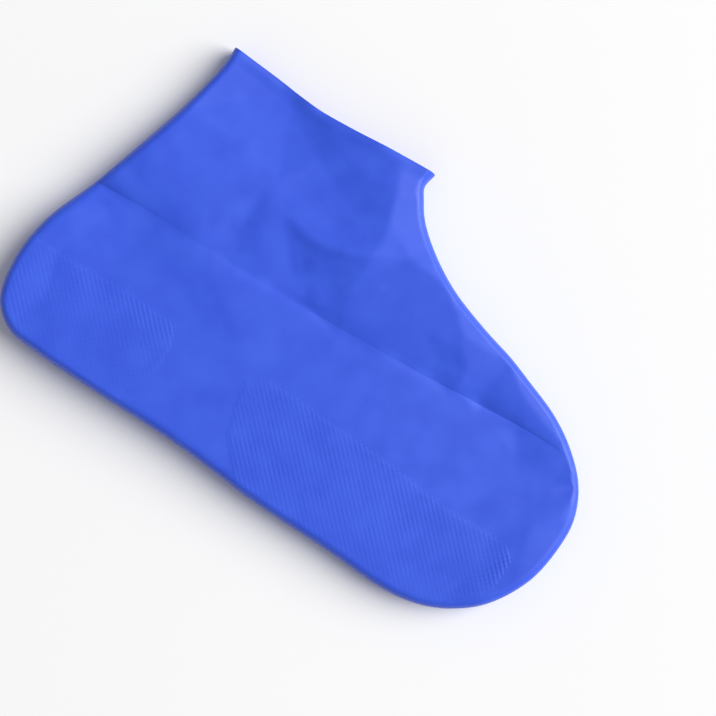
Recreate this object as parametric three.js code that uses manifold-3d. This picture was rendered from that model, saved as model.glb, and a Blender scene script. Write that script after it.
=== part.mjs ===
import * as THREE from "three";
import { mergeVertices } from "three/addons/utils/BufferGeometryUtils.js";
import Module from "manifold-3d";

// A dip-moulded latex shoe cover, lying on its side with the sole folded along its middle.
// X runs from heel to toe, Y from the fold of the sole to the mouth, Z up from what it lies on.
// All lengths are in millimetres.

// Outline, seen from above
const HEEL_BULGE = 32.8; // how far the heel stands behind the mouth
const MOUTH_WIDTH = 109.4;
const TOE_REACH = 140.4; // from the front of the mouth to the toe
const BAND_HEIGHT = 86.7; // half sole and side wall, from the fold up to the crease
const UPPER_HEIGHT = 86.7; // from the crease at the heel up to the mouth

// Heights above the surface it lies on
const BAND_LOFT = 20;
const ANKLE_LOFT = 17;
const MOUTH_LOFT = 12.5;
const EDGE_ROUND = 12; // width of the rounded border inside a folded edge

// Rubber walls
const SOLE_WALL = 1.5;
const UPPER_WALL = 1.1;
const RIM_WIDTH = 3; // thickened band round the mouth
const RIM_RISE = 0.5;
const TREAD_RISE = 0.5; // the two ribbed fields of the sole stand proud by this

// Crease between sole band and upper, and the folds of the upper
const CREASE_DEPTH = 2.2;
const CREASE_WIDTH = 9;
const CREASE_STEP = 2.4; // width of the steep bank up to the sole band
const FOLD_DEPTH = 2.5;
const FOLD_WIDTH = 9;

const BLUE = "#4663e2";

// Names the columns of a table.
const table = (columns, rows) =>
  rows.map((row) => Object.fromEntries(columns.map((name, i) => [name, row[i]])));

// Station 0 is the back of the heel, 1 and 2 the back and front of the mouth, 3 the toe.
// Level 0 is the fold of the sole, 1 the height of the crease at the heel, 2 the mouth.
const STATIONS = [0, HEEL_BULGE, HEEL_BULGE + MOUTH_WIDTH, HEEL_BULGE + MOUTH_WIDTH + TOE_REACH];
const LEVELS = [0, BAND_HEIGHT, BAND_HEIGHT + UPPER_HEIGHT];

// The folded edge, from the front of the mouth down the instep, round the toe, along the
// sole and up the heel; round is the border's width as a share of EDGE_ROUND.
const FOLDED_EDGE = table(
  ["station", "level", "round", "corner"],
  [
    [2.0, 2.0, 1.4, "frontEar"],
    [1.99, 1.918, 1.3],
    [2.013, 1.857, 1.1],
    [2.051, 1.77, 1.0],
    [2.129, 1.661, 1.0],
    [2.255, 1.539, 1.0],
    [2.412, 1.449, 0.9],
    [2.533, 1.396, 0.8],
    [2.619, 1.347, 0.8, "vampEnd"],
    [2.755, 1.261, 0.8],
    [2.858, 1.158, 0.8],
    [2.943, 1.02, 0.9],
    [2.991, 0.86, 1.0],
    [3.0, 0.7, 1.0],
    [2.976, 0.448, 1.0],
    [2.89, 0.21, 1.0, "soleToe"],
    [2.767, 0.067, 0.95],
    [2.63, 0.004, 0.8],
    [2.347, 0.012, 0.75],
    [2.063, 0.02, 0.75],
    [1.708, 0.055, 0.75],
    [1.265, 0.061, 0.75],
    [0.915, 0.07, 0.75],
    [0.479, 0.093, 0.75],
    [0.143, 0.201, 0.75, "soleHeel"],
    [0.003, 0.422, 0.75],
    [0.079, 0.693, 0.75],
    [0.378, 1.001, 0.7],
    [0.652, 1.333, 0.7],
    [0.875, 1.637, 0.8],
    [1.002, 1.909, 1.1],
    [1.0, 2.0, 1.2, "backEar"],
  ],
);

const MOUTH_EDGE = table(
  ["station", "level"],
  [
    [1.0, 2.0],
    [1.088, 1.992],
    [1.229, 1.98],
    [1.436, 1.957],
    [1.605, 1.964],
    [1.791, 1.984],
    [2.0, 2.0],
  ],
);

// The crease, with the depth of its groove as a share of CREASE_DEPTH.
const CREASE = table(
  ["station", "level", "depth"],
  [
    [0.378, 1.001, 0.8],
    [1.069, 1.018, 1.0],
    [1.569, 1.022, 0.8],
    [2.045, 1.044, 0.8],
    [2.419, 1.084, 0.9],
    [2.756, 1.118, 0.9],
    [2.85, 1.107, 0.6],
    [2.943, 1.02, 0.5],
  ],
);

// Shares of BAND_LOFT and of the upper's loft along the cover.
const LOFT = table(
  ["station", "band", "upper"],
  [
    [0, 0.86, 0.8],
    [1, 1, 1],
    [2, 1, 1],
    [2.6, 0.95, 0.94],
    [3, 0.8, 0.78],
  ],
);
const BAND_CROWN = 0.22; // share of its loft that the band loses towards the fold of the sole
const EDGE_LEVEL = 0.42; // height of a folded edge as a share of the loft there

// Folds and dents, each along a straight line; depth is a share of FOLD_DEPTH, below zero for
// a hollow, and width a share of FOLD_WIDTH.
const FOLDS = table(
  ["name", "fromStation", "fromLevel", "toStation", "toLevel", "depth", "width"],
  [
    ["wedge left", 1.562, 1.381, 1.874, 1.111, -0.8, 0.7],
    ["wedge right", 1.952, 1.45, 2.015, 1.069, -0.8, 0.9],
    ["wedge floor", 1.8, 1.25, 1.86, 1.2, -0.8, 1.6],
    ["wedge brow", 1.56, 1.44, 1.93, 1.5, 0.5, 0.8],
    ["ankle nick", 1.448, 1.399, 1.575, 1.058, -0.6, 0.55],
    ["mouth hollow", 1.352, 1.923, 1.969, 1.565, -0.4, 1.3],
    ["instep fold", 2.277, 1.246, 2.471, 1.1, -0.6, 0.8],
    ["instep ridge", 2.35, 1.358, 2.492, 1.12, 0.4, 0.6],
    ["toe kink", 2.533, 1.398, 2.506, 1.104, -0.7, 0.7],
    ["toe hollow", 2.56, 1.24, 2.784, 1.138, -0.6, 0.8],
    ["pucker above", 2.741, 0.956, 2.941, 1.017, -0.5, 0.6],
    ["pucker below", 2.834, 0.666, 2.941, 1.008, -0.5, 0.6],
    ["pucker ridge", 2.734, 0.774, 2.898, 0.954, 0.4, 0.7],
    ["band hollow", 1.151, 0.967, 1.626, 0.723, -0.35, 1.6],
  ],
);

// The ribbed fields of the sole; both run on over its folded edge.
const HEEL_FIELD = table(
  ["station", "level"],
  [
    [-0.4, 0.612],
    [1.197, 0.612],
    [1.407, 0.601],
    [1.448, 0.486],
    [1.457, 0.302],
    [1.407, 0.204],
    [1.407, -0.2],
    [-0.4, -0.2],
  ],
);
const FOREFOOT_FIELD = table(
  ["station", "level"],
  [
    [1.955, -0.2],
    [1.955, 0.089],
    [1.846, 0.239],
    [1.809, 0.377],
    [1.777, 0.539],
    [1.878, 0.622],
    [2.214, 0.608],
    [2.414, 0.591],
    [2.585, 0.557],
    [2.841, 0.562],
    [2.901, 0.504],
    [2.898, 0.331],
    [2.848, 0.135],
    [2.777, -0.2],
  ],
);

// How finely the outside and the hollow are divided: columns under the mouth and under the
// instep, shares of the way up the band and up the upper, and steps in from the folded edge.
const OUTSIDE = {
  mouthColumns: 18,
  vampColumns: 24,
  bandRows: [0, 0.15, 0.3, 0.45, 0.6, 0.75, 0.88, 0.96, 1],
  upperRows: [0, 0.02, 0.07, 0.15, 0.27, 0.4, 0.55, 0.7, 0.85, 1],
  borderSteps: [0, 0.06, 0.15, 0.25, 0.3, 0.6, 1],
};
const HOLLOW = { ...OUTSIDE, borderSteps: [0, 0.12, 0.4, 0.9] };
const MOUTH_CLEAR = 8; // the hollow's form runs on past the mouth by this, to open it
const EDGE_SAMPLES = 24; // samples between two rows of a curve
const PROBE_WAYS = 8; // ways in which a sloping wall's thickness is tested
const PROBE_SHARES = [0.7, 1]; // how far out it is tested, in walls

const { lerp, clamp, smoothstep } = THREE.MathUtils;

// Reads a list of lengths at a fractional place, running on straight past both ends.
function lengthAt(lengths, place) {
  const i = clamp(Math.floor(place), 0, lengths.length - 2);
  return lerp(lengths[i], lengths[i + 1], place - i);
}

const pointAt = (station, level) => ({
  x: lengthAt(STATIONS, station),
  y: lengthAt(LEVELS, level),
});

// Samples a smooth curve through a table's rows; third is a column carried along with x and y.
function sampleCurve(rows, third) {
  const knots = rows.map((row) => {
    const { x, y } = pointAt(row.station, row.level);
    return new THREE.Vector3(x, y, third ? row[third] : 0);
  });
  const curve = new THREE.CatmullRomCurve3(knots, false, "centripetal");
  return curve.getPoints((rows.length - 1) * EDGE_SAMPLES);
}

// Reads one value along a table of points sorted by x, level past both ends.
function valueAt(points, x, key) {
  if (x <= points[0].x) return points[0][key];
  const next = points.findIndex((point) => point.x >= x);
  if (next < 0) return points.at(-1)[key];
  const [a, b] = [points[next - 1], points[next]];
  return lerp(a[key], b[key], (x - a.x) / (b.x - a.x));
}

// The folded edge as samples with outward normals, run on straight past both ears.
function traceFoldedEdge() {
  const samples = sampleCurve(FOLDED_EDGE, "round");
  const edge = samples.map((sample, i) => {
    const before = samples[Math.max(i - 1, 0)];
    const after = samples[Math.min(i + 1, samples.length - 1)];
    const way = new THREE.Vector2(after.x - before.x, after.y - before.y).normalize();
    return { x: sample.x, y: sample.y, nx: -way.y, ny: way.x, round: sample.z * EDGE_ROUND };
  });
  const beyond = (ear, side) => {
    const count = Math.ceil(MOUTH_CLEAR) + 2;
    const run = Array.from({ length: count }, (_, i) => i + 1);
    return run.map((step) => ({ ...ear, y: ear.y + step, nx: side, ny: 0 }));
  };
  const front = beyond(edge[0], 1).reverse();
  return { samples: [...front, ...edge, ...beyond(edge.at(-1), -1)], lead: front.length };
}

const edge = traceFoldedEdge();
const creaseLine = sampleCurve(CREASE, "depth");
const mouthLine = sampleCurve(MOUTH_EDGE);
const loftRows = LOFT.map((row) => ({ ...row, x: lengthAt(STATIONS, row.station) }));
const foldLines = FOLDS.map((row) => ({
  from: pointAt(row.fromStation, row.fromLevel),
  to: pointAt(row.toStation, row.toLevel),
  depth: row.depth * FOLD_DEPTH,
  width: row.width * FOLD_WIDTH,
}));

const cornerIndex = (name) =>
  edge.lead + FOLDED_EDGE.findIndex((row) => row.corner === name) * EDGE_SAMPLES;
const creaseY = (x) => valueAt(creaseLine, x, "y");
const mouthY = (x) => valueAt(mouthLine, x, "y");

// Distance in from the folded edge, below zero outside it, and the border's width there.
function edgeDistance(x, y) {
  let best = Infinity;
  let nearest = edge.samples[0];
  for (const sample of edge.samples) {
    const square = (x - sample.x) ** 2 + (y - sample.y) ** 2;
    if (square < best) {
      best = square;
      nearest = sample;
    }
  }
  const outward = (x - nearest.x) * nearest.nx + (y - nearest.y) * nearest.ny;
  return { distance: Math.sign(-outward) * Math.sqrt(best), round: nearest.round };
}

// Height that the folds add at a point.
function foldsAt(x, y) {
  return foldLines.reduce((sum, { from, to, depth, width }) => {
    const run = { x: to.x - from.x, y: to.y - from.y };
    const along = ((x - from.x) * run.x + (y - from.y) * run.y) / (run.x ** 2 + run.y ** 2);
    const share = clamp(along, 0, 1);
    const gap = Math.hypot(x - from.x - share * run.x, y - from.y - share * run.y);
    return sum + depth * Math.exp(-((gap / width) ** 2));
  }, 0);
}

// Height of the smooth form, with the change from band to upper spread over a width.
function plainLoft(x, y, spread) {
  const up = y - creaseY(x);
  const band = BAND_LOFT * (1 - BAND_CROWN * (Math.min(up, 0) / BAND_HEIGHT) ** 2);
  const upper = lerp(ANKLE_LOFT, MOUTH_LOFT, smoothstep(up, 0, UPPER_HEIGHT));
  return lerp(
    band * valueAt(loftRows, x, "band"),
    upper * valueAt(loftRows, x, "upper"),
    smoothstep(up, -spread, spread / 3),
  );
}

// Height of the outside away from the folded edges.
function fullLoft(x, y) {
  const up = y - creaseY(x);
  const share = valueAt(creaseLine, x, "z");
  const step = CREASE_STEP / share ** 2; // a shallow groove has a gentle bank beside it
  const groove = up > 0 ? share * CREASE_DEPTH * Math.exp(-((up / CREASE_WIDTH) ** 2)) : 0;
  const bank = smoothstep(up, -step, 0);
  return plainLoft(x, y, step) - groove * bank + foldsAt(x, y);
}

// Extra thickness of the band round the mouth.
const rimRise = (x, y) => RIM_RISE * smoothstep(y - mouthY(x), -RIM_WIDTH - RIM_RISE, -RIM_WIDTH);

// Height of the upper face a wall's thickness inside the outside, measured square to a slope.
function innerLoft(x, y, inset) {
  const level = fullLoft(x, y) - inset;
  if (inset <= 0) return level;
  const turns = Array.from({ length: PROBE_WAYS }, (_, i) => (i / PROBE_WAYS) * 2 * Math.PI);
  const probes = PROBE_SHARES.flatMap((share) =>
    turns.map((turn) => {
      const reach = share * inset;
      const beside = fullLoft(x + reach * Math.cos(turn), y + reach * Math.sin(turn));
      return beside - inset * Math.sqrt(1 - share ** 2);
    }),
  );
  return Math.min(level, ...probes);
}

// Height at which the upper and the lower face of the cover meet in a folded edge.
const edgeHeight = (x, y) => EDGE_LEVEL * plainLoft(x, y, CREASE_WIDTH);

// The lower face rests on its upper part and on the ribbed fields.
const floorHeight = (x, y) => TREAD_RISE * (1 - smoothstep(y - creaseY(x), -CREASE_WIDTH, 0));

// Upper and lower height at a point of a form that lies inset within the outside.
function facesAt(x, y, inset) {
  const { distance, round } = edgeDistance(x, y);
  const share = clamp((distance - inset) / (round - inset), 0, 1);
  const rise = Math.sqrt(1 - (1 - share) ** 2);
  const middle = edgeHeight(x, y);
  const rim = inset > 0 ? 0 : rimRise(x, y);
  return {
    top: lerp(middle, innerLoft(x, y, inset) + rim, rise),
    bottom: lerp(middle, floorHeight(x, y) + inset, rise),
  };
}

// Points of a line between two samples, at shares of the length between them.
function pointsAlong(line, from, to, shares) {
  const step = Math.sign(to - from);
  const run = [{ ...line[from], length: 0 }];
  for (let i = from + step; i !== to + step; i += step) {
    const last = run.at(-1);
    const length = last.length + Math.hypot(line[i].x - last.x, line[i].y - last.y);
    run.push({ ...line[i], length });
  }
  return shares.map((share) => {
    const length = share * run.at(-1).length;
    const next = Math.max(1, run.findIndex((point) => point.length >= length - 1e-9));
    const [a, b] = [run[next - 1], run[next]];
    const part = clamp((length - a.length) / (b.length - a.length), 0, 1);
    return { x: lerp(a.x, b.x, part), y: lerp(a.y, b.y, part) };
  });
}

const evenShares = (count) => Array.from({ length: count + 1 }, (_, i) => i / count);

// Shares that lie closer together towards both ends.
const roundShares = (count) =>
  evenShares(count).map((share) => (1 - Math.cos(Math.PI * share)) / 2);

// Shares along the cover, half of them under the mouth.
const splitShares = ({ mouthColumns, vampColumns }) => [
  ...evenShares(mouthColumns).map((share) => share / 2),
  ...evenShares(vampColumns).slice(1).map((share) => (1 + share) / 2),
];

// Sample of a line, between two indices, that lies nearest to the crease.
function creaseCrossing(line, from, to) {
  let best = from;
  for (let i = from; i <= to; i += 1) {
    const gap = Math.abs(line[i].y - creaseY(line[i].x));
    if (gap < Math.abs(line[best].y - creaseY(line[best].x))) best = i;
  }
  return best;
}

// The four sides of a form's outline, moved in by step, each from left to right or bottom to top.
function outlineAt(step, form) {
  const line = edge.samples.map(({ x, y, nx, ny }) => {
    const inwards = form.inset(x, y) + step;
    return { x: x - nx * inwards, y: y - ny * inwards };
  });
  const reach = form.mouthReach * (1 - step / (form.grid.borderSteps.at(-1) * EDGE_ROUND));
  const rimY = (x) => mouthY(x) + reach - step;
  const under = (point) => point.y <= rimY(point.x) + 1e-6;
  const front = line.findIndex(under);
  const back = line.findLastIndex(under);
  const [vampEnd, soleToe, soleHeel] = ["vampEnd", "soleToe", "soleHeel"].map(cornerIndex);
  const toeCrease = creaseCrossing(line, vampEnd, soleToe);
  const heelCrease = creaseCrossing(line, soleHeel, back);
  const { mouthColumns, vampColumns, bandRows, upperRows } = form.grid;
  const mouth = roundShares(mouthColumns).map((share) => {
    const x = lerp(line[back].x, line[front].x, share);
    return { x, y: rimY(x), open: share > 0 && share < 1 };
  });
  mouth[0].y = line[back].y;
  mouth[mouthColumns].y = line[front].y;
  return {
    top: [...mouth, ...pointsAlong(line, front, vampEnd, evenShares(vampColumns)).slice(1)],
    bottom: pointsAlong(line, soleHeel, soleToe, splitShares(form.grid)),
    left: [
      ...pointsAlong(line, soleHeel, heelCrease, bandRows),
      ...pointsAlong(line, heelCrease, back, upperRows).slice(1),
    ],
    right: [
      ...pointsAlong(line, soleToe, toeCrease, bandRows),
      ...pointsAlong(line, toeCrease, vampEnd, upperRows).slice(1),
    ],
  };
}

// Once round an outline, from its lower left corner.
const loopOf = ({ bottom, right, top, left }) => [
  ...bottom.slice(0, -1),
  ...right.slice(0, -1),
  ...top.slice(1).reverse(),
  ...left.slice(1).reverse(),
];

// Fills four sides with rows of points that follow all four; shares place the rows.
function fillPatch(bottom, top, left, right, shares) {
  const last = bottom.length - 1;
  return shares.map((v, j) =>
    bottom.map((low, i) => {
      if (i === 0) return left[j];
      if (i === last) return right[j];
      if (v === 0) return low;
      if (v === 1) return top[i];
      const u = i / last;
      const blend = (key) =>
        lerp(low[key], top[i][key], v) +
        lerp(left[j][key], right[j][key], u) -
        lerp(lerp(bottom[0][key], bottom[last][key], u), lerp(top[0][key], top[last][key], u), v);
      return { x: blend("x"), y: blend("y") };
    }),
  );
}

// Rows of points over the middle of a form, inside its last border step.
function middleRows(sides, { grid }) {
  const split = grid.bandRows.length - 1;
  const [start, end] = [sides.left[split], sides.right[split]];
  const crease = splitShares(grid).map((share) => {
    if (share === 0) return start;
    if (share === 1) return end;
    const x = lerp(start.x, end.x, share);
    return { x, y: creaseY(x) };
  });
  const lower = [sides.left.slice(0, split + 1), sides.right.slice(0, split + 1)];
  const upper = [sides.left.slice(split), sides.right.slice(split)];
  return [
    ...fillPatch(sides.bottom, crease, ...lower, grid.bandRows),
    ...fillPatch(crease, sides.top, ...upper, grid.upperRows).slice(1),
  ];
}

// A closed geometry from triangles, each a list of three points.
function geometryOf(triangles) {
  const values = triangles.flatMap((corners) => corners.flatMap(({ x, y, z }) => [x, y, z]));
  const geometry = new THREE.BufferGeometry();
  geometry.setAttribute("position", new THREE.Float32BufferAttribute(values, 3));
  return mergeVertices(geometry, 1e-4);
}

// A closed body of the cover's form: faces above and below, joined in the folded edge and
// by a strip across the mouth.
function coverGeometry(form) {
  const outlines = form.grid.borderSteps.map((share) => outlineAt(share * EDGE_ROUND, form));
  const loops = outlines.map(loopOf);
  const middle = middleRows(outlines.at(-1), form);
  for (const loop of [...loops, ...middle])
    for (const point of loop) {
      const { top, bottom } = facesAt(point.x, point.y, form.inset(point.x, point.y));
      Object.assign(point, { top, bottom });
    }
  for (const point of loops[0])
    if (!point.open) {
      point.top = edgeHeight(point.x, point.y);
      point.bottom = point.top;
    }
  const triangles = [];
  const above = ({ x, y, top }) => ({ x, y, z: top });
  const below = ({ x, y, bottom }) => ({ x, y, z: bottom });
  const both = (a, b, c) => {
    triangles.push([a, b, c].map(above));
    triangles.push([c, b, a].map(below));
  };
  const patch = (a, b, c, d) => {
    both(a, b, c);
    both(a, c, d);
  };
  for (let ring = 0; ring + 1 < loops.length; ring += 1) {
    const [outer, inner] = [loops[ring], loops[ring + 1]];
    outer.forEach((a, i) => {
      const next = (i + 1) % outer.length;
      patch(a, outer[next], inner[next], inner[i]);
    });
  }
  for (let j = 0; j + 1 < middle.length; j += 1)
    for (let i = 0; i + 1 < middle[j].length; i += 1)
      patch(middle[j][i], middle[j][i + 1], middle[j + 1][i + 1], middle[j + 1][i]);
  loops[0].forEach((a, i) => {
    const b = loops[0][(i + 1) % loops[0].length];
    if (a.open) triangles.push([above(b), above(a), below(a)]);
    if (b.open) triangles.push([above(b), below(a), below(b)]);
  });
  return geometryOf(triangles);
}

// A standing block over an outline, deep enough to pass through the whole cover.
function blockGeometry(rows) {
  const shape = new THREE.Shape(
    rows.map(({ station, level }) => {
      const { x, y } = pointAt(station, level);
      return new THREE.Vector2(x, y);
    }),
  );
  const depth = 4 * BAND_LOFT;
  const block = new THREE.ExtrudeGeometry(shape, { depth, bevelEnabled: false });
  return block.translate(0, 0, -depth / 2);
}

const wasm = await Module();
wasm.setup();

// A closed geometry as a solid that can be joined and cut.
function solidOf(geometry) {
  const bare = new THREE.BufferGeometry();
  bare.setAttribute("position", geometry.getAttribute("position"));
  bare.setIndex(geometry.index);
  const merged = mergeVertices(bare, 1e-4);
  return new wasm.Manifold(
    new wasm.Mesh({
      numProp: 3,
      vertProperties: merged.getAttribute("position").array,
      triVerts: new Uint32Array(merged.index.array),
    }),
  );
}

// A solid as a geometry again.
function geometryFrom(solid) {
  const { vertProperties, triVerts } = solid.getMesh();
  const geometry = new THREE.BufferGeometry();
  geometry.setAttribute("position", new THREE.BufferAttribute(vertProperties, 3));
  geometry.setIndex(new THREE.BufferAttribute(triVerts, 1));
  return geometry;
}

const wallAt = (x, y) =>
  lerp(SOLE_WALL, UPPER_WALL, smoothstep(y - creaseY(x), -CREASE_WIDTH, CREASE_WIDTH));

// The whole cover: the outside with its two raised fields, less the hollow for the foot.
function shoeCover() {
  const outside = solidOf(coverGeometry({ inset: () => 0, mouthReach: 0, grid: OUTSIDE }));
  const raised = solidOf(
    coverGeometry({ inset: () => -TREAD_RISE, mouthReach: 0, grid: OUTSIDE }),
  );
  const hollow = solidOf(
    coverGeometry({ inset: wallAt, mouthReach: MOUTH_CLEAR, grid: HOLLOW }),
  );
  const fields = [HEEL_FIELD, FOREFOOT_FIELD].map((rows) =>
    raised.intersect(solidOf(blockGeometry(rows))),
  );
  const whole = fields.reduce((body, field) => body.add(field), outside).subtract(hollow);
  const geometry = geometryFrom(whole);
  geometry.computeVertexNormals();
  return geometry;
}

const rubber = new THREE.MeshStandardMaterial({ color: BLUE, roughness: 0.5, metalness: 0 });
const cover = new THREE.Mesh(shoeCover(), rubber);
cover.name = "shoe_cover";

// The origin is the middle of the cover's box, on the surface that it lies on.
cover.geometry.computeBoundingBox();
const { min, max } = cover.geometry.boundingBox;
cover.position.set(-(min.x + max.x) / 2, -(min.y + max.y) / 2, -min.z);

const group = new THREE.Group();
group.add(cover);

export default group;
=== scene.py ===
import math

import bmesh
import bpy
import numpy as np
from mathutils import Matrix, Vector
from mathutils.bvhtree import BVHTree
from mathutils.geometry import delaunay_2d_cdt


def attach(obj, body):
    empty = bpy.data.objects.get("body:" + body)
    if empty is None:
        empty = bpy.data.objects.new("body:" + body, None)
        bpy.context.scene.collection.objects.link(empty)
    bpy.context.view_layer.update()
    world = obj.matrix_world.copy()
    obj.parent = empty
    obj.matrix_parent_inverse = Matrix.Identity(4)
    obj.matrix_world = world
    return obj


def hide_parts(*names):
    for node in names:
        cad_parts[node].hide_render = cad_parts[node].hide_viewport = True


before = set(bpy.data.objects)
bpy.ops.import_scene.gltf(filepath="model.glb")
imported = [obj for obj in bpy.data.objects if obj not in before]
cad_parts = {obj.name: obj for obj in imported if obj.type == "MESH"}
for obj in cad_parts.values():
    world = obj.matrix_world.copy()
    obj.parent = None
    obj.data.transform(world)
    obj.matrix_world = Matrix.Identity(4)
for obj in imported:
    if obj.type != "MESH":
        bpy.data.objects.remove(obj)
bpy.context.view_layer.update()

# A dip-moulded latex shoe cover, lying on its side with its sole folded along the middle.
# Tables and sizes are in millimetres from the middle of the cover's box, on the floor, with
# the toe towards +x and the mouth towards +y. Meshes are made in millimetres too, and turned
# to metres when they are finished.
MM = 0.001

# The folded edge, from the front of the mouth down the instep, round the toe, along the sole
# and up the heel: x, y, the width of the rounded border beside the fold, and how far the
# sheet stands above its smooth form there.
FOLDED_EDGE = [
    (1.2, 87.0, 4.0, 1.6), (0.1, 79.9, 3.4, 2.7), (3.0, 74.6, 3.2, 2.8), (8.3, 67.1, 3.2, 1.4),
    (19.3, 57.6, 3.2, 0.9), (37.0, 47.1, 3.2, 1.2), (59.0, 39.3, 3.2, 0.2),
    (76.0, 34.7, 3.2, -1.7), (88.1, 30.4, 3.2, -1.6), (107.2, 23.0, 3.2, -2.2),
    (121.6, 14.0, 3.4, -2.0), (133.6, 2.1, 3.6, -0.9), (140.3, -11.8, 3.8, -0.8),
    (141.6, -25.7, 4.0, -0.1), (138.2, -47.5, 4.2, 1.2), (126.1, -68.2, 4.4, 1.5),
    (108.8, -80.6, 4.4, 0.1), (89.6, -86.0, 4.4, -0.6), (49.9, -85.3, 4.4, -0.7),
    (10.0, -84.6, 4.4, -0.2), (-30.8, -81.6, 4.4, 0.9), (-79.3, -81.1, 4.4, 2.1),
    (-111.0, -80.3, 4.4, 1.8), (-125.3, -78.3, 4.4, 2.3), (-136.4, -68.9, 4.4, 3.7),
    (-140.9, -49.8, 4.4, 2.9), (-138.5, -26.3, 4.4, 1.9), (-128.6, 0.4, 4.4, -2.6),
    (-119.7, 29.2, 4.2, -3.2), (-112.3, 55.6, 4.0, -0.8), (-108.0, 79.1, 4.0, 2.0),
    (-108.2, 87.0, 4.5, 0.9),
]
VAMP_END, SOLE_TOE, SOLE_HEEL = 10, 15, 24  # rows where a side of the outline ends

# The mouth, from its back corner to its front one: x and y.
MOUTH_EDGE = [
    (-108.2, 87.0), (-98.6, 86.3), (-83.2, 85.3), (-60.5, 83.3),
    (-42.1, 83.9), (-21.7, 85.6), (1.2, 87.0),
]
MOUTH_BORDER = 12.0  # how far in from the mouth the rows beside its rim reach
EDGE_SAMPLES = 24  # points of a curve between two rows of its table

# The crease between sole band and upper: x, y and how strongly it shows.
CREASE = [
    (-128.6, 0.4, 1.45), (-100.7, 1.9, 0.35), (-72.0, 2.1, 0.1), (-46.0, 2.2, 0.1),
    (-10.0, 3.4, 0.1), (7.5, 4.1, 0.1), (26.0, 5.2, 0.1), (45.0, 6.4, 0.3), (62.0, 7.8, 0.55),
    (78.0, 9.0, 0.8), (107.3, 10.6, 0.55), (120.5, 9.6, 0.1), (133.6, 2.1, 0.5),
]
CREASE_DEPTH = 1.4
CREASE_WIDTH = 9.0  # over which the band's height changes to the upper's
SHOULDER_WIDTH = 4.0  # over which the upper rises from the crease

# A narrower step on the crease: x, and its share of the full depth.
CREASE_MARK = [
    (-128.6, 0.6), (-100.7, 0.6), (-72.0, 0.1), (-46.0, 0.3), (-10.0, 1.0), (7.5, 1.0), (26.0, 0.5),
    (45.0, 0.7), (62.0, 0.9), (70.0, 0.3), (78.0, 1.0), (107.3, 0.9), (117.0, 0.4), (120.5, 0.0),
]
MARK_DEPTH, MARK_WIDTH = 0.34, 1.6

# Heights above the floor, and the shares that they lose towards heel and toe.
BAND_LOFT = 19.4
ANKLE_LOFT = 19.4
MOUTH_LOFT = 12.5
HEEL_SINK, HEEL_REACH = 0.14, 33.0
TOE_SINK, TOE_REACH = 0.2, 140.0
BAND_CROWN = 0.12  # share of its height that the band loses towards the fold of the sole
BAND_HEIGHT = 86.7  # from the fold of the sole up to the crease, as the cover is worn
UPPER_HEIGHT = 86.7  # from the crease up to the mouth
EDGE_LEVEL = 0.5  # height of the fold as a share of the height inside it
TREAD_RISE = 0.5  # room for the tread between the band's underside and the floor
RIM_WIDTH = 3.0
RIM_RISE = 0.45  # the thickened rim stands out from the sheet by this
WALL = 1.1

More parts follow.
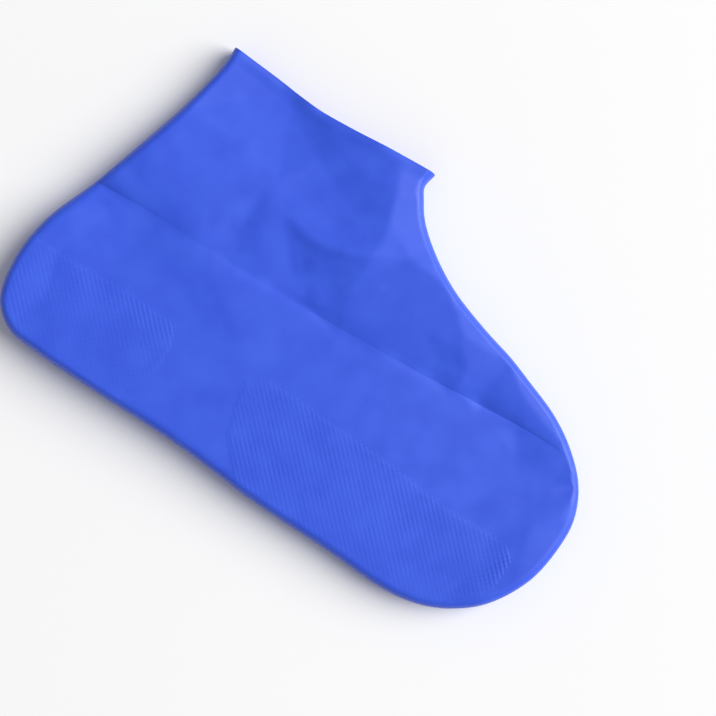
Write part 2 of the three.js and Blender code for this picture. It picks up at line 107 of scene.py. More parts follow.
# Folds of the rubber: crests and valleys as lines of x, y and height over the smooth form.
# The sheet between them is taut, so it lies in flat facets from line to line.
FOLDS = [
    ("mouth edge", [(-98.0, 89.0, -0.3), (-85.0, 88.0, -1.1), (-72.0, 86.8, -1.4),
        (-60.0, 86.0, -1.6), (-45.0, 86.2, 1.6), (-30.0, 87.3, 3.5), (-15.0, 88.3, 1.7),
        (-3.0, 89.5, 3)]),
    ("heel side of the upper", [(-124.7, 12.3, -3), (-108.0, 9.3, -2.8), (-92.6, 10.9, -2.3),
        (-79.2, 15.6, -2), (-71.6, 10.6, -2.8), (-61.9, 3.1, -3.9)]),
    ("beside the heel side", [(-71.3, 22.9, -1.7), (-64.2, 15.3, -3.1), (-56.5, 8.3, -4)]),
    ("back of the mouth", [(-117.2, 28.0, -1.4), (-110.4, 51.6, -0.2), (-107.3, 74.3, 1.9),
        (-102.8, 82.6, 1.2)]),
    ("mouth valley", [(-77.5, 82.4, -2), (-71.6, 79.1, -1.7), (-60.7, 72.3, -1), (-46.9, 63.6, 0),
        (-32.2, 57.7, 0.4), (-20.1, 53.3, 0.9), (-7.8, 46.9, 1.6)]),
    ("mouth facet", [(-66.2, 85.2, 0), (-57.1, 81.2, 0.7), (-44.9, 75.8, 2.1),
        (-33.7, 70.4, 2.1)]),
    ("throat ridge", [(-14.7, 85.2, 3.7), (-12.6, 76.7, 4.1), (-8.9, 69.2, 4.4),
        (-5.2, 57.4, 2.7), (-1.8, 47.0, 2.4), (11.8, 48.0, 2.2), (24.9, 47.1, 2.1),
        (34.6, 45.6, 2), (44.3, 38.1, 1.3), (51.2, 31.6, 0.9), (61.5, 31.0, -0.2),
        (75.4, 32.2, -1)]),
    ("small fold foot", [(-61.1, 37.0, -1.1), (-60.9, 30.6, -1.9), (-60.8, 21.9, -2.6),
        (-56.5, 8.3, -4)]),
    ("small fold crest", [(-58.2, 36.7, -0.9), (-54.2, 26.1, -1.7), (-48.1, 17.4, -2.9),
        (-42.3, 11.8, -3.8)]),
    ("brow", [(-47.5, 33.7, -0.8), (-36.9, 31.7, -0.4), (-24.6, 31.3, 0.6), (-14.6, 34.4, 1.6),
        (-4.1, 39.5, 2.5)]),
    ("under the brow", [(-43.8, 32.2, -1.1), (-34.6, 27.1, -2), (-23.3, 26.7, -1.2),
        (-12.9, 30.0, -0.2), (-4.2, 34.5, 1)]),
    ("wedge valley", [(-34.6, 27.1, -2), (-22.3, 14.7, -4.5), (-12.7, 6.6, -3.1)]),
    ("wedge side", [(-47.5, 33.7, -0.8), (-40.0, 25.3, -2.5), (-27.0, 11.8, -4.8),
        (-17.6, 5.7, -3.9)]),
    ("wedge streak", [(-17.0, 17.6, -3.8), (-8.3, 10.0, -3)]),
    ("wedge floor", [(-13.9, 19.6, -3.3), (-5.7, 11.1, -2.8)]),
    ("wedge crest", [(-4.1, 39.5, 2.5), (-3.1, 27.5, -0.6), (-0.4, 9.6, -2.4)]),
    ("lobe", [(-58.0, 46.7, -0.8), (-47.7, 47.7, -0.8), (-25.4, 42.8, -0.2), (-16.4, 41.5, 0.8)]),
    ("vamp fold valley", [(37.2, 22.6, -0.6), (47.3, 15.4, -2.6), (54.3, 10.5, -3)]),
    ("vamp fold crest", [(52.9, 27.2, 0.1), (61.5, 19.0, -1.6), (69.8, 11.1, -3.4)]),
    ("toe kink", [(75.9, 31.5, -1.2), (73.8, 20.2, -2.5), (72.7, 10.8, -3.8)]),
    ("toe facet crest", [(77.6, 31.4, -1.2), (90.6, 22.2, -1.4), (102.7, 17.9, -1.8),
        (113.7, 15.1, -1.1)]),
    ("toe end crest", [(116.6, 15.8, -0.9), (123.4, 10.3, -0.6), (130.4, 4.4, 0)]),
    ("toe patch valley", [(99.0, 1.3, -2.7), (102.8, -2.9, -2.4), (107.9, -8.3, -2.4)]),
    ("toe patch edge", [(110.4, -10.6, -2.2), (121.2, -4.2, -1.6), (130.9, 2.0, -1.5)]),
    ("pucker", [(118.0, -23.2, -1.2), (126.2, -10.4, -0.8), (132.3, 0.7, -1.5)]),
    ("below the pucker", [(124.8, -25.4, -0.3), (133.3, -12.9, -0.1), (135.3, -2.4, 0)]),
    ("band valley", [(-92.2, -14.6, -3.6), (-66.0, -19.7, -3.1), (-41.0, -38.3, -0.9)]),
    ("band crest", [(-68.6, -6.1, -3.1), (-55.2, -7.4, -3), (-33.8, -25.5, -1.2),
        (-21.2, -34.9, -1.1)]),
    ("heel swell", [(-130.9, -17.4, 0.3), (-124.9, -37.1, -0.7), (-119.3, -52.7, -0.3)]),
    ("beside the heel swell", [(-114.6, -8.6, -3.1), (-101.1, -24.6, -3.2)]),
    ("crease from heel to wedge", [(-124.7, 0.3, -3.5), (-102.5, 0.7, -3.6), (-73.0, 1.5, -3),
        (-56.3, 2.9, -4), (-36.6, 4.5, -4.8), (-13.5, 4.5, -4), (2.6, 4.9, -3), (25.8, 7.1, -2.4),
        (48.2, 8.9, -3.5), (61.9, 8.8, -2.7), (75.1, 9.6, -3.9), (96.4, 10.6, -2.8),
        (117.9, 11.2, -0.5)]),
    ("below the crease", [(-125.5, -3.6, -2.8), (-102.5, -3.6, -3.7), (-72.0, -3.3, -2.8),
        (-55.9, -1.2, -3.7), (-35.6, -0.4, -3.5), (-14.1, 0.2, -2.9), (2.0, 0.7, -3.1),
        (26.5, 2.6, -2.4), (62.0, 4.5, -3), (75.3, 5.9, -3.1), (96.8, 6.5, -3.1)]),
]
FOLD_FRAME = (-190, 190, -130, 130)  # left, right, low and high side of the folds' raster
FOLD_CELL = 0.75
FOLD_SOFTNESS = 1.3  # how far a fold line is blurred
BLUR_CELLS = 4
ABOVE_ALL = 50  # a height over every fold, to look down from

# Gentle swells over the whole sheet: waves in all directions, with lengths between two limits.
SWELL_COUNT = 14
SWELL_LENGTHS = (9, 42)
SWELL_SHIFTS = (0, 6.3)
SWELL_STEEPNESS = 0.0005
SWELL_SEED = 11

# The two ribbed treads. Each field is closed by a stretch of the folded edge, given by its
# ends, and by lines over the band on its left, top and right.
TREADS = {
    "heel_tread": {
        "ends": [(-63.7, -81.3), (-136.4, -68.9), (-139.4, -33.3)],
        "top": [(-86.7, -32.3), (-61.7, -33.3)],
        "right": [(-62.7, -68.7), (-55.8, -59.2), (-56.2, -44.2), (-61.7, -33.3)],
    },
    "forefoot_tread": {
        "ends": [(117.0, -77.5), (-3.8, -84.6)],
        "left": [(-4.8, -78.6), (-17.2, -65.6), (-21.2, -53.7), (-24.2, -38.6)],
        "top": [(-12.2, -31.4), (31.2, -32.9), (59.3, -34.3), (83.3, -37.3), (119.2, -37.0),
                (127.7, -42.7)],
        "right": [(123.6, -65.5), (127.2, -57.7), (127.7, -42.7)],
    },
}
TREAD_CELL = 0.58
TREAD_PITCH = 2.03
TREAD_SKIN = 0.1  # a tread stands over the sheet by this, and its border lies as far under it
TREAD_START = 3.2  # over which the tread rises from its border
RIB_HEIGHT = 0.15  # a rib's crest over the middle level of the ribs
RIB_FADE = 0.35  # share of that height at the folded edge
RIB_REACH = 34.0  # from the folded edge to where the ribs have their full height
RIB_SWELL = 0.15  # a swell of this height doubles the ribs on it

# How finely the sheet is divided. Its rows lie closer together beside the crease.
MOUTH_COLUMNS = 80
VAMP_COLUMNS = 112
COLUMNS = np.concatenate([
    np.linspace(0, 0.5, MOUTH_COLUMNS + 1),
    np.linspace(0.5, 1, VAMP_COLUMNS + 1)[1:],
])
VAMP_SHARES = np.linspace(0, 1, VAMP_COLUMNS + 1)
EVEN_SHARES = np.linspace(0, 1, MOUTH_COLUMNS + 1)
MOUTH_SHARES = ((1 - np.cos(np.pi * EVEN_SHARES)) / 2 + EVEN_SHARES) / 2
BAND_ROWS = np.concatenate([
    np.linspace(0, 0.94, 36),
    [0.958, 0.97, 0.979, 0.985, 0.99, 0.994, 0.997, 1],
])
UPPER_ROWS = np.concatenate([
    [0, 0.004, 0.01, 0.018, 0.028, 0.04, 0.055],
    np.linspace(0.07, 1, 44),
])
BORDER_TURNS = np.radians([0, 2, 5, 9, 15, 23, 33, 45, 58, 73, 90])
BORDER_POWER = 2.4  # 2 gives the border the section of an ellipse, more a blunter one
MERGE_GAP = 1e-4  # points closer than this become one
TREAD_MERGE_GAP = 1e-3
BATCH = 4000  # points measured against the edge at a time, to save memory

# The latex: its two tones, and the sizes of its clouds, its orange peel and the former's grain.
# The real grain is finer still, and is drawn as coarse as it needs to show close up.
LATEX_TONES = ("#2e54dc", "#325ae2")
CLOUD_SIZE = 14
PEEL_SIZE, PEEL_DEPTH = 0.7, 0.05
GRAIN_SIZE, GRAIN_DEPTH = 0.22, 0.02
PAPER_WHITE = "#f7f7f7"
FIBRE_SIZE = 1.5

# The light, in metres, degrees and watts.
FLOOR_HALF = 2.5
FILL = 0.3
KEY_SIZE = 7.5
KEY_DISTANCE = 8.0
KEY_AZIMUTH = 38
KEY_ELEVATION = 40
KEY_POWER = 874

# The camera looks straight down, with the toe to the lower right.
LENS = 100.0
SENSOR_WIDTH = 36
CAMERA_HEIGHT = 925.0
CAMERA_X, CAMERA_Y = 16.55, -3.17
CAMERA_TURN = 32.549


def smooth_curve(rows):
    """Points of a smooth curve through all rows of a table."""
    knots = np.array(rows, float)
    knots = np.vstack([2 * knots[0] - knots[1], knots, 2 * knots[-1] - knots[-2]])
    share = (np.arange(EDGE_SAMPLES) / EDGE_SAMPLES)[:, None]
    runs = []
    for p0, p1, p2, p3 in zip(knots, knots[1:], knots[2:], knots[3:]):
        a, b, c = (math.dist(u[:2], v[:2]) ** 0.5 for u, v in ((p0, p1), (p1, p2), (p2, p3)))
        leave = b * ((p1 - p0) / a - (p2 - p0) / (a + b) + (p2 - p1) / b)
        arrive = b * ((p2 - p1) / b - (p3 - p1) / (b + c) + (p3 - p2) / c)
        square = 3 * (p2 - p1) - 2 * leave - arrive
        cube = 2 * (p1 - p2) + leave + arrive
        runs.append(p1 + share * (leave + share * (square + share * cube)))
    return np.vstack(runs + [knots[-2]])


def smooth_step(value, low, high):
    """Goes smoothly from 0 at a low value to 1 at a high one."""
    share = np.clip((value - low) / (high - low), 0, 1)
    return share * share * (3 - 2 * share)


def length_along(line):
    """Length from the start of a line to each of its points."""
    return np.concatenate([[0], np.cumsum(np.hypot(*np.diff(line, axis=0).T))])


def along(line, shares):
    """Points of a line at shares of its length."""
    length = length_along(line)
    places = np.asarray(shares) * length[-1]
    return np.stack([np.interp(places, length, line[:, i]) for i in (0, 1)], axis=1)


EDGE = smooth_curve(FOLDED_EDGE)
EDGE_WAY = np.gradient(EDGE[:, :2], axis=0)
OUTWARDS = np.stack([-EDGE_WAY[:, 1], EDGE_WAY[:, 0]], axis=1)
OUTWARDS /= np.linalg.norm(EDGE_WAY, axis=1)[:, None]
EDGE_LENGTH = length_along(EDGE[:, :2])
CREASE_LINE = smooth_curve(CREASE)
MOUTH_LINE = smooth_curve(MOUTH_EDGE)
chance = np.random.default_rng(SWELL_SEED)
SWELLS = [(chance.uniform(0, math.pi), chance.uniform(*SWELL_LENGTHS),
           chance.uniform(*SWELL_SHIFTS)) for _ in range(SWELL_COUNT)]


def crease_y(x):
    """How far up the crease lies."""
    return np.interp(x, CREASE_LINE[:, 0], CREASE_LINE[:, 1])


def mouth_y(x):
    """How far up the mouth lies."""
    return np.interp(x, MOUTH_LINE[:, 0], MOUTH_LINE[:, 1])


def border_at(turn):
    """Shares of the border's width and rise where it has turned by an angle, and its line."""
    share = 1 - max(math.cos(turn), 0) ** (2 / BORDER_POWER)
    rise = math.sin(turn) ** (2 / BORDER_POWER)
    return share, rise, EDGE[:, :2] - OUTWARDS * (EDGE[:, 2] * share)[:, None]


def border_rise(x, y):
    """How far a point has risen from the folded edge, from 0 at the fold to 1 inside it."""
    rise = np.empty(x.shape)
    for start in range(0, x.size, BATCH):
        part = slice(start, start + BATCH)
        gap = np.hypot(x[part, None] - EDGE[:, 0], y[part, None] - EDGE[:, 1])
        near = gap.argmin(axis=1)
        inwards = (EDGE[near, 0] - x[part]) * OUTWARDS[near, 0]
        inwards += (EDGE[near, 1] - y[part]) * OUTWARDS[near, 1]
        share = np.clip(inwards / EDGE[near, 2], 0, 1)
        rise[part] = (1 - (1 - share) ** BORDER_POWER) ** (1 / BORDER_POWER)
    return rise


def fold_relief():
    """Heights of the folds on a fine raster, from facets stretched between the fold lines."""
    left, right, low, high = FOLD_FRAME
    frame_corners = [(left, low, 0), (right, low, 0), (right, high, 0), (left, high, 0)]
    rim = [tuple(EDGE[i, [0, 1, 3]]) for i in range(0, len(EDGE), EDGE_SAMPLES // 2)]
    points = frame_corners + rim
    joins = []
    for _, line in FOLDS:
        first = len(points)
        points += line
        joins += [(i, i + 1) for i in range(first, len(points) - 1)]
    flat = [Vector(point[:2]) for point in points]
    whole_hull = 0
    spots, _, facets, origins, _, _ = delaunay_2d_cdt(flat, joins, [], whole_hull, 1e-3, True)
    knots = [(*spot, points[first[0]][2]) for spot, first in zip(spots, origins)]
    tree = BVHTree.FromPolygons(knots, facets)
    across = np.arange(left + 1, right, FOLD_CELL)
    upward = np.arange(low + 1, high, FOLD_CELL)
    down = Vector((0, 0, -1))
    relief = np.array([[tree.ray_cast(Vector((x, y, ABOVE_ALL)), down)[0].z for x in across]
                       for y in upward])
    reach = np.arange(-BLUR_CELLS, BLUR_CELLS + 1)
    weights = np.exp(-((reach * FOLD_CELL / FOLD_SOFTNESS) ** 2))
    weights /= weights.sum()
    for axis in (0, 1):
        relief = sum(weight * np.roll(relief, cells, axis) for cells, weight in zip(reach, weights))
    return across, upward, relief


FOLD_RELIEF = fold_relief()


def folds_at(x, y):
    """Height that the folds add at a point, read between the cells of their raster."""
    across, upward, heights = FOLD_RELIEF
    u = np.clip((x - across[0]) / FOLD_CELL, 0, len(across) - 1.001)
    v = np.clip((y - upward[0]) / FOLD_CELL, 0, len(upward) - 1.001)
    i, j = u.astype(int), v.astype(int)
    u, v = u - i, v - j
    low = heights[j, i] * (1 - u) + heights[j, i + 1] * u
    high = heights[j + 1, i] * (1 - u) + heights[j + 1, i + 1] * u
    return low * (1 - v) + high * v


def swells(x, y):
    """Gentle uneven swells, as thin rubber has where nothing holds it."""
    total = np.zeros(x.shape)
    for angle, length, shift in SWELLS:
        way = x * math.cos(angle) + y * math.sin(angle)
        total += np.sin(math.tau * way / length + shift) * length * SWELL_STEEPNESS
    return total


def plain_loft(x, y):
    """Height of the smooth form, without folds."""
    up = y - crease_y(x)
    band = BAND_LOFT * (1 - BAND_CROWN * (np.minimum(up, 0) / BAND_HEIGHT) ** 2)
    upper = ANKLE_LOFT + (MOUTH_LOFT - ANKLE_LOFT) * smooth_step(up, 0, UPPER_HEIGHT)
    behind = np.maximum(EDGE[-1, 0] - x, 0) / HEEL_REACH
    ahead = np.maximum(x - EDGE[0, 0], 0) / TOE_REACH
    share = 1 - HEEL_SINK * behind ** 2 - TOE_SINK * ahead ** 2
    return share * (band + (upper - band) * smooth_step(up, -CREASE_WIDTH, CREASE_WIDTH / 3))


def full_loft(x, y):
    """Height of the top away from the folded edges."""
    up = y - crease_y(x)
    step = CREASE_DEPTH * np.interp(x, CREASE_LINE[:, 0], CREASE_LINE[:, 2])
    shoulder = step * (1 - np.exp(-np.maximum(up, 0) / SHOULDER_WIDTH))
    mark = MARK_DEPTH * np.interp(x, *np.transpose(CREASE_MARK))
    shoulder += mark * (1 - np.exp(-np.maximum(up, 0) / MARK_WIDTH))
    shoulder *= 1 - smooth_step(up, 0, UPPER_HEIGHT)
    return plain_loft(x, y) + shoulder + folds_at(x, y) + swells(x, y)


def rim_rise(x, y):
    """The thickened band round the mouth."""
    return RIM_RISE * smooth_step(y - mouth_y(x), -RIM_WIDTH - RIM_RISE, -RIM_WIDTH)


def sheet_points(places, face):
    """Points of the outer surface over or under places, given as x, y and rise."""
    x, y, rise = places.reshape(-1, 3).T
    fold = EDGE_LEVEL * plain_loft(x, y)
    rim = rim_rise(x, y)
    if face == "top":
        full = full_loft(x, y) + rim
    else:
        on_band = smooth_step(crease_y(x) - y, 0, CREASE_WIDTH)
        full = TREAD_RISE * on_band + RIM_RISE * (1 - on_band) - rim
    z = fold + (full - fold) * rise
    return np.stack([x, y, z], axis=1).reshape(places.shape)


def cut_line(line, first, last, height):
    """A stretch of a line in two, where it meets a height given for each of its points."""
    part = line[first:last + 1]
    over = part[:, 1] - height[first:last + 1]
    i = int(np.argmax(over * over[0] <= 0))
    share = over[i - 1] / (over[i - 1] - over[i])
    cut = part[i - 1] + share * (part[i] - part[i - 1])
    return np.vstack([part[:i], cut]), np.vstack([cut, part[i:]])


def outline_at(turn):
    """The four sides of the outline, moved in to where the border has turned by an angle."""
    share, rise, line = border_at(turn)
    rim = mouth_y(line[:, 0]) - MOUTH_BORDER * share
    crease = crease_y(line[:, 0])
    vamp_end, sole_toe, sole_heel = (i * EDGE_SAMPLES for i in (VAMP_END, SOLE_TOE, SOLE_HEEL))
    vamp = line[:vamp_end + 1]
    heel = line[sole_heel:]
    if turn > 0:
        vamp = cut_line(line, 0, vamp_end, rim)[1]
        heel = cut_line(line, sole_heel, len(line) - 1, rim)[0]
    toe_high, toe_low = cut_line(line, vamp_end, sole_toe, crease)
    heel_low, heel_high = cut_line(heel, 0, len(heel) - 1, crease_y(heel[:, 0]))
    mouth_x = heel[-1, 0] + (vamp[0, 0] - heel[-1, 0]) * MOUTH_SHARES
    mouth = np.stack([mouth_x, mouth_y(mouth_x) - MOUTH_BORDER * share], axis=1)
    mouth[0], mouth[-1] = heel[-1], vamp[0]
    sides = {
        "bottom": along(line[sole_toe:sole_heel + 1][::-1], COLUMNS),
        "top": np.vstack([mouth, along(vamp, VAMP_SHARES)[1:]]),
        "left": np.vstack([along(heel_low, BAND_ROWS), along(heel_high, UPPER_ROWS)[1:]]),
        "right": np.vstack([along(toe_low[::-1], BAND_ROWS),
                            along(toe_high[::-1], UPPER_ROWS)[1:]]),
    }
    rises = {name: np.full(len(side), rise) for name, side in sides.items()}
    rises["top"][1:MOUTH_COLUMNS] = border_rise(*mouth[1:-1].T)
    return {name: np.column_stack([side, rises[name]]) for name, side in sides.items()}


def loop_of(sides):
    """Once round an outline and back to where it began, from its lower left corner."""
    return np.vstack([
        sides["bottom"][:-1], sides["right"][:-1], sides["top"][:0:-1], sides["left"][::-1],
    ])


def fill(bottom, top, left, right, columns, rows):
    """Rows of points that follow all four sides of a patch."""
    u = np.asarray(columns)[None, :, None]
    v = np.asarray(rows)[:, None, None]
    across = bottom[None] * (1 - v) + top[None] * v
    upward = left[:, None] * (1 - u) + right[:, None] * u
    low = bottom[0] * (1 - u) + bottom[-1] * u
    high = top[0] * (1 - u) + top[-1] * u
    return across + upward - (low * (1 - v) + high * v)


def middle_of(sides):
    """Rows of points over the middle of the outline, with one row on the crease."""
    split = len(BAND_ROWS) - 1
    sides = {name: side[:, :2] for name, side in sides.items()}
    start, end = sides["left"][split], sides["right"][split]
    x = start[0] + (end[0] - start[0]) * COLUMNS
    crease = np.stack([x, crease_y(x)], axis=1)
    crease[0], crease[-1] = start, end
    low = fill(sides["bottom"], crease, sides["left"][:split + 1], sides["right"][:split + 1],
               COLUMNS, BAND_ROWS)
    high = fill(crease, sides["top"], sides["left"][split:], sides["right"][split:],
                COLUMNS, UPPER_ROWS)
    middle = np.vstack([low, high[1:]])
    rise = border_rise(*middle.reshape(-1, 2).T).reshape(middle.shape[:2])
    return np.concatenate([middle, rise[..., None]], axis=2)


def add_panel(mesh, points):
    """Adds a grid to a mesh and moves its vertices to rows of points."""
    rows, columns = points.shape[:2]
    made = bmesh.ops.create_grid(mesh, x_segments=columns - 1, y_segments=rows - 1, size=1)
    for vert, place in zip(made["verts"], points.reshape(-1, 3)):
        vert.co = place
    return made["verts"]


def finish_piece(mesh, name, material):
    """Makes an object of a mesh in millimetres, in metres and smooth-shaded."""
    bmesh.ops.scale(mesh, vec=(MM, MM, MM), verts=mesh.verts)
    for face in mesh.faces:
        face.smooth = True
    data = bpy.data.meshes.new(name)
    mesh.to_mesh(data)
    mesh.free()
    data.materials.append(material)
    piece = bpy.data.objects.new(name, data)
    bpy.context.scene.collection.objects.link(piece)
    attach(piece, "root")
    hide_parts("shoe_cover")
    return piece


def cover_sheet(material):
    """The whole cover as one sheet of rubber, open at the mouth."""
    rings = [outline_at(turn) for turn in BORDER_TURNS]
    loops = np.stack([loop_of(sides) for sides in rings])
    middle = middle_of(rings[-1])
    mesh = bmesh.new()
    for face in ("top", "under"):
        add_panel(mesh, sheet_points(loops, face))
        add_panel(mesh, sheet_points(middle, face))
    bmesh.ops.remove_doubles(mesh, verts=mesh.verts, dist=MERGE_GAP)
    bmesh.ops.recalc_face_normals(mesh, faces=mesh.faces)
    piece = finish_piece(mesh, "cover_sheet", material)
    wall = piece.modifiers.new("wall", "SOLIDIFY")
    wall.thickness = WALL * MM
    wall.offset = -1
    return piece


def even_turns(count):
    """Angles that divide the section of the border evenly, from its inside to the fold."""
    angles = np.linspace(0, math.pi / 2, 400)
    wide = FOLDED_EDGE[0][2] * (1 - np.cos(angles[:-1]) ** (2 / BORDER_POWER))
    high = (1 - EDGE_LEVEL) * BAND_LOFT * np.sin(angles[:-1]) ** (2 / BORDER_POWER)
    length = length_along(np.column_stack([wide, high]))
    turns = np.interp(np.linspace(0, length[-1], count), length, angles[:-1])
    turns[-1] = math.pi / 2
    return turns[::-1]


def edge_places(start, end):
    """Places on the folded edge between two lengths, a tread's cell apart."""
    steps = round(abs(end - start) / TREAD_CELL)
    return np.interp(np.linspace(start, end, steps + 1), EDGE_LENGTH, np.arange(len(EDGE)))


def edge_read(line, places):
    """Reads a line that runs beside the folded edge at places on the edge."""
    return np.stack([np.interp(places, np.arange(len(line)), column) for column in line.T], 1)


def tread_patch(field):
    """Rows of points over a tread inside the border, and the places on the edge below it."""
    ends = [EDGE_LENGTH[np.hypot(EDGE[:, 0] - x, EDGE[:, 1] - y).argmin()]
            for x, y in field["ends"]]
    _, _, inner = border_at(math.pi / 2)
    path = edge_places(ends[1], ends[0])
    columns = np.linspace(0, 1, len(path))
    bottom = edge_read(inner, path)
    if "left" in field:
        left = np.vstack([bottom[:1], field["left"]])
        rows = np.linspace(0, 1, round(length_along(left)[-1] / TREAD_CELL) + 1)
        left = along(left, rows)
    else:
        upward = edge_places(ends[1], ends[2])
        path = np.concatenate([upward[:0:-1], path])
        left = edge_read(inner, upward)
        rows = np.linspace(0, 1, len(upward))
    right = along(np.vstack([bottom[-1:], field["right"]]), rows)
    top = along(np.vstack([left[-1:], field["top"]]), columns)
    return fill(bottom, top, left, right, columns, rows), path


def tread_strip(path):
    """Rows of points over the border of a tread, from its inside to the fold."""
    strip = []
    for turn in even_turns(round(BAND_LOFT * (1 - EDGE_LEVEL) / TREAD_CELL)):
        _, rise, line = border_at(turn)
        strip.append(np.column_stack([edge_read(line, path), np.full(len(path), rise)]))
    return np.stack(strip)


def cells_inside(patch, field):
    """How many cells a tread's points lie inside its border, and inside the folded edge."""
    row, column = np.indices(patch.shape[:2])
    depth = np.minimum(row.max() - row, column.max() - column)
    if "left" in field:
        return np.minimum(depth, column), row
    return depth, np.minimum(row, column)


def add_noted_panel(mesh, layers, points, *notes):
    """Adds a grid whose vertices keep notes for the ribs in the mesh's layers."""
    notes = np.dstack(notes).reshape(-1, len(layers))
    for vert, values in zip(add_panel(mesh, points), notes):
        for layer, value in zip(layers, values):
            vert[layer] = value


def raise_ribs(mesh, layers):
    """Moves a tread's surface out into two families of ribs that cross each other."""
    mesh.normal_update()
    x, y, depth, inland = np.array([[vert[layer] for layer in layers] for vert in mesh.verts]).T
    ribs = sum(np.cos(math.tau * way / (math.sqrt(2) * TREAD_PITCH)) for way in (x + y, x - y)) / 2
    height = RIB_FADE + (1 - RIB_FADE) * smooth_step(inland * TREAD_CELL, 0, RIB_REACH)
    height *= RIB_HEIGHT * (1 + swells(2 * x, 2 * y) / RIB_SWELL)
    start = np.minimum(depth * TREAD_CELL / TREAD_START, 1)
    stand = TREAD_SKIN * (2 * start - 1) + height * ribs * np.sqrt(start)
    for vert, rise in zip(mesh.verts, stand):
        vert.co += vert.normal * rise


def tread_piece(name, material):
    """A ribbed skin on the sole, from the band over the fold to the underside."""
    field = TREADS[name]
    patch, path = tread_patch(field)
    inside = np.dstack([patch, np.ones(patch.shape[:2])])
    depth, inland = cells_inside(patch, field)
    strip = tread_strip(path)
    place = np.arange(len(path))
    strip_depth = np.tile(np.minimum(place, place[::-1]), (len(strip), 1))
    outwards = edge_read(OUTWARDS, path)

    mesh = bmesh.new()
    layers = [mesh.verts.layers.float.new(key) for key in ("x", "y", "depth", "inland")]
    reached = np.zeros(len(path))
    for face, fold in (("top", strip), ("under", strip[::-1])):
        border = sheet_points(fold, face)
        steps = np.linalg.norm(np.diff(border, axis=0), axis=2)
        reach = reached + np.vstack([np.zeros(len(path)), np.cumsum(steps, axis=0)])
        reached = reach[-1]
        run = strip[0, :, :2] + outwards * reach[..., None]
        add_noted_panel(mesh, layers, border, run, strip_depth, np.zeros(strip_depth.shape))
        add_noted_panel(mesh, layers, sheet_points(inside, face), patch, depth, inland)
    bmesh.ops.remove_doubles(mesh, verts=mesh.verts, dist=TREAD_MERGE_GAP)
    bmesh.ops.recalc_face_normals(mesh, faces=mesh.faces)
    raise_ribs(mesh, layers)
    return finish_piece(mesh, name, material)


def linear(code):
    """An sRGB hex colour as a linear colour."""
    parts = [int(code[i:i + 2], 16) / 255 for i in (1, 3, 5)]
    return [p / 12.92 if p <= 0.04045 else ((p + 0.055) / 1.055) ** 2.4 for p in parts] + [1]


def add(tree, kind, inputs=None, **settings):
    """Adds a node, sets its properties and fills its sockets with values or outputs."""
    made = tree.nodes.new(kind)
    for name, value in settings.items():
        setattr(made, name, value)
    for socket, value in (inputs or {}).items():
        if isinstance(value, bpy.types.NodeSocket):
            tree.links.new(value, made.inputs[socket])
        else:
            made.inputs[socket].default_value = value
    return made


def new_material(name):
    """A material with an empty node tree, and the place of a point on the object."""
    material = bpy.data.materials.new(name)
    material.use_nodes = True
    tree = material.node_tree
    tree.nodes.clear()
    return material, tree, add(tree, "ShaderNodeTexCoord").outputs["Object"]


def latex_material():
    """Natural latex, pigmented blue and dip-moulded on a blasted former: a soft satin skin,
    slightly cloudy in colour, with a very fine orange peel over the grain of the former."""
    material, tree, place = new_material("blue natural latex, dip-moulded")
    clouds = add(tree, "ShaderNodeTexNoise",
                 {"Vector": place, "Scale": 1 / (CLOUD_SIZE * MM), "Detail": 3,
                  "Roughness": 0.5})
    tone = add(tree, "ShaderNodeValToRGB", {"Fac": clouds.outputs["Fac"]})
    for stop, position, colour in zip(tone.color_ramp.elements, (0.35, 0.65), LATEX_TONES):
        stop.position = position
        stop.color = linear(colour)
    satin = add(tree, "ShaderNodeMapRange",
                {"Value": clouds.outputs["Fac"], "From Min": 0.3, "From Max": 0.7,
                 "To Min": 0.46, "To Max": 0.54})
    grain = add(tree, "ShaderNodeTexNoise",
                {"Vector": place, "Scale": 1 / (GRAIN_SIZE * MM), "Detail": 1,
                 "Roughness": 0.5})
    blasted = add(tree, "ShaderNodeBump",
                  {"Height": grain.outputs["Fac"], "Strength": 0.1,
                   "Distance": GRAIN_DEPTH * MM})
    peel = add(tree, "ShaderNodeTexNoise",
               {"Vector": place, "Scale": 1 / (PEEL_SIZE * MM), "Detail": 2,
                "Roughness": 0.5})
    bump = add(tree, "ShaderNodeBump",
               {"Height": peel.outputs["Fac"], "Strength": 0.15, "Distance": PEEL_DEPTH * MM,
                "Normal": blasted.outputs["Normal"]})
    skin = add(tree, "ShaderNodeBsdfPrincipled",
               {"Base Color": tone.outputs["Color"], "Roughness": satin.outputs["Result"],
                "IOR": 1.52, "Normal": bump.outputs["Normal"]})
    add(tree, "ShaderNodeOutputMaterial", {"Surface": skin.outputs["BSDF"]})
    return material


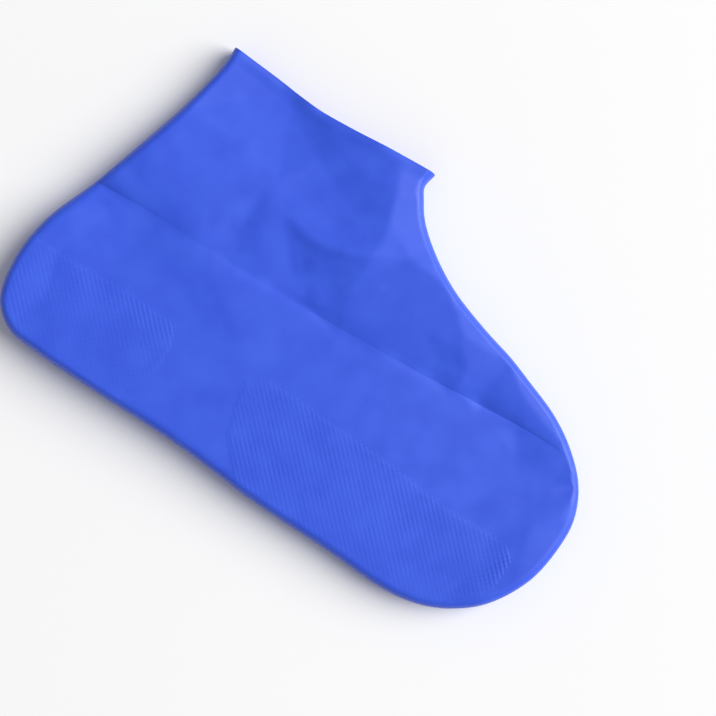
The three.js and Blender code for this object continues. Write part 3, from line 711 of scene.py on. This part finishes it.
def paper_material():
    """White studio paper, matte, with the faint grain of its fibres."""
    material, tree, place = new_material("white seamless paper, matte")
    grain = add(tree, "ShaderNodeTexNoise", {"Vector": place, "Scale": 1 / (FIBRE_SIZE * MM)})
    rough = add(tree, "ShaderNodeMapRange",
                {"Value": grain.outputs["Fac"], "To Min": 0.85, "To Max": 0.95})
    sheet = add(tree, "ShaderNodeBsdfPrincipled",
                {"Base Color": linear(PAPER_WHITE), "Roughness": rough.outputs["Result"],
                 "Specular IOR Level": 0.2})
    add(tree, "ShaderNodeOutputMaterial", {"Surface": sheet.outputs["BSDF"]})
    return material


def paper_floor():
    """A wide sheet of paper under the cover."""
    mesh = bmesh.new()
    bmesh.ops.create_grid(mesh, x_segments=1, y_segments=1, size=FLOOR_HALF)
    data = bpy.data.meshes.new("floor")
    mesh.to_mesh(data)
    mesh.free()
    data.materials.append(paper_material())
    floor = bpy.data.objects.new("floor", data)
    bpy.context.scene.collection.objects.link(floor)


def studio_light():
    """Faint even light from everywhere, and a broad soft key light from the instep's side."""
    scene = bpy.context.scene
    scene.world = bpy.data.worlds.new("studio")
    scene.world.use_nodes = True
    sky = scene.world.node_tree.nodes["Background"].inputs
    sky["Color"].default_value = (1, 1, 1, 1)
    sky["Strength"].default_value = FILL

    lamp = bpy.data.lights.new("key", "AREA")
    lamp.shape = "DISK"
    lamp.size = KEY_SIZE
    lamp.energy = KEY_POWER
    key = bpy.data.objects.new("key", lamp)
    azimuth, elevation = math.radians(KEY_AZIMUTH), math.radians(KEY_ELEVATION)
    way = Vector((math.cos(azimuth) * math.cos(elevation),
                  math.sin(azimuth) * math.cos(elevation), math.sin(elevation)))
    key.location = way * KEY_DISTANCE
    key.rotation_euler = way.to_track_quat("Z", "Y").to_euler()
    scene.collection.objects.link(key)
    scene.view_settings.view_transform = "Standard"
    scene.view_settings.look = "None"


def overhead_camera():
    """The camera, straight above the cover and turned so that the toe points down to the right."""
    lens = bpy.data.cameras.new("camera")
    lens.lens = LENS
    lens.sensor_width = SENSOR_WIDTH
    camera = bpy.data.objects.new("camera", lens)
    camera.location = Vector((CAMERA_X, CAMERA_Y, CAMERA_HEIGHT)) * MM
    camera.rotation_euler = (0, 0, math.radians(CAMERA_TURN))
    bpy.context.scene.collection.objects.link(camera)
    bpy.context.scene.camera = camera


overhead_camera()
paper_floor()
studio_light()
latex = latex_material()
cover_sheet(latex)
tread_piece("heel_tread", latex)
tread_piece("forefoot_tread", latex)
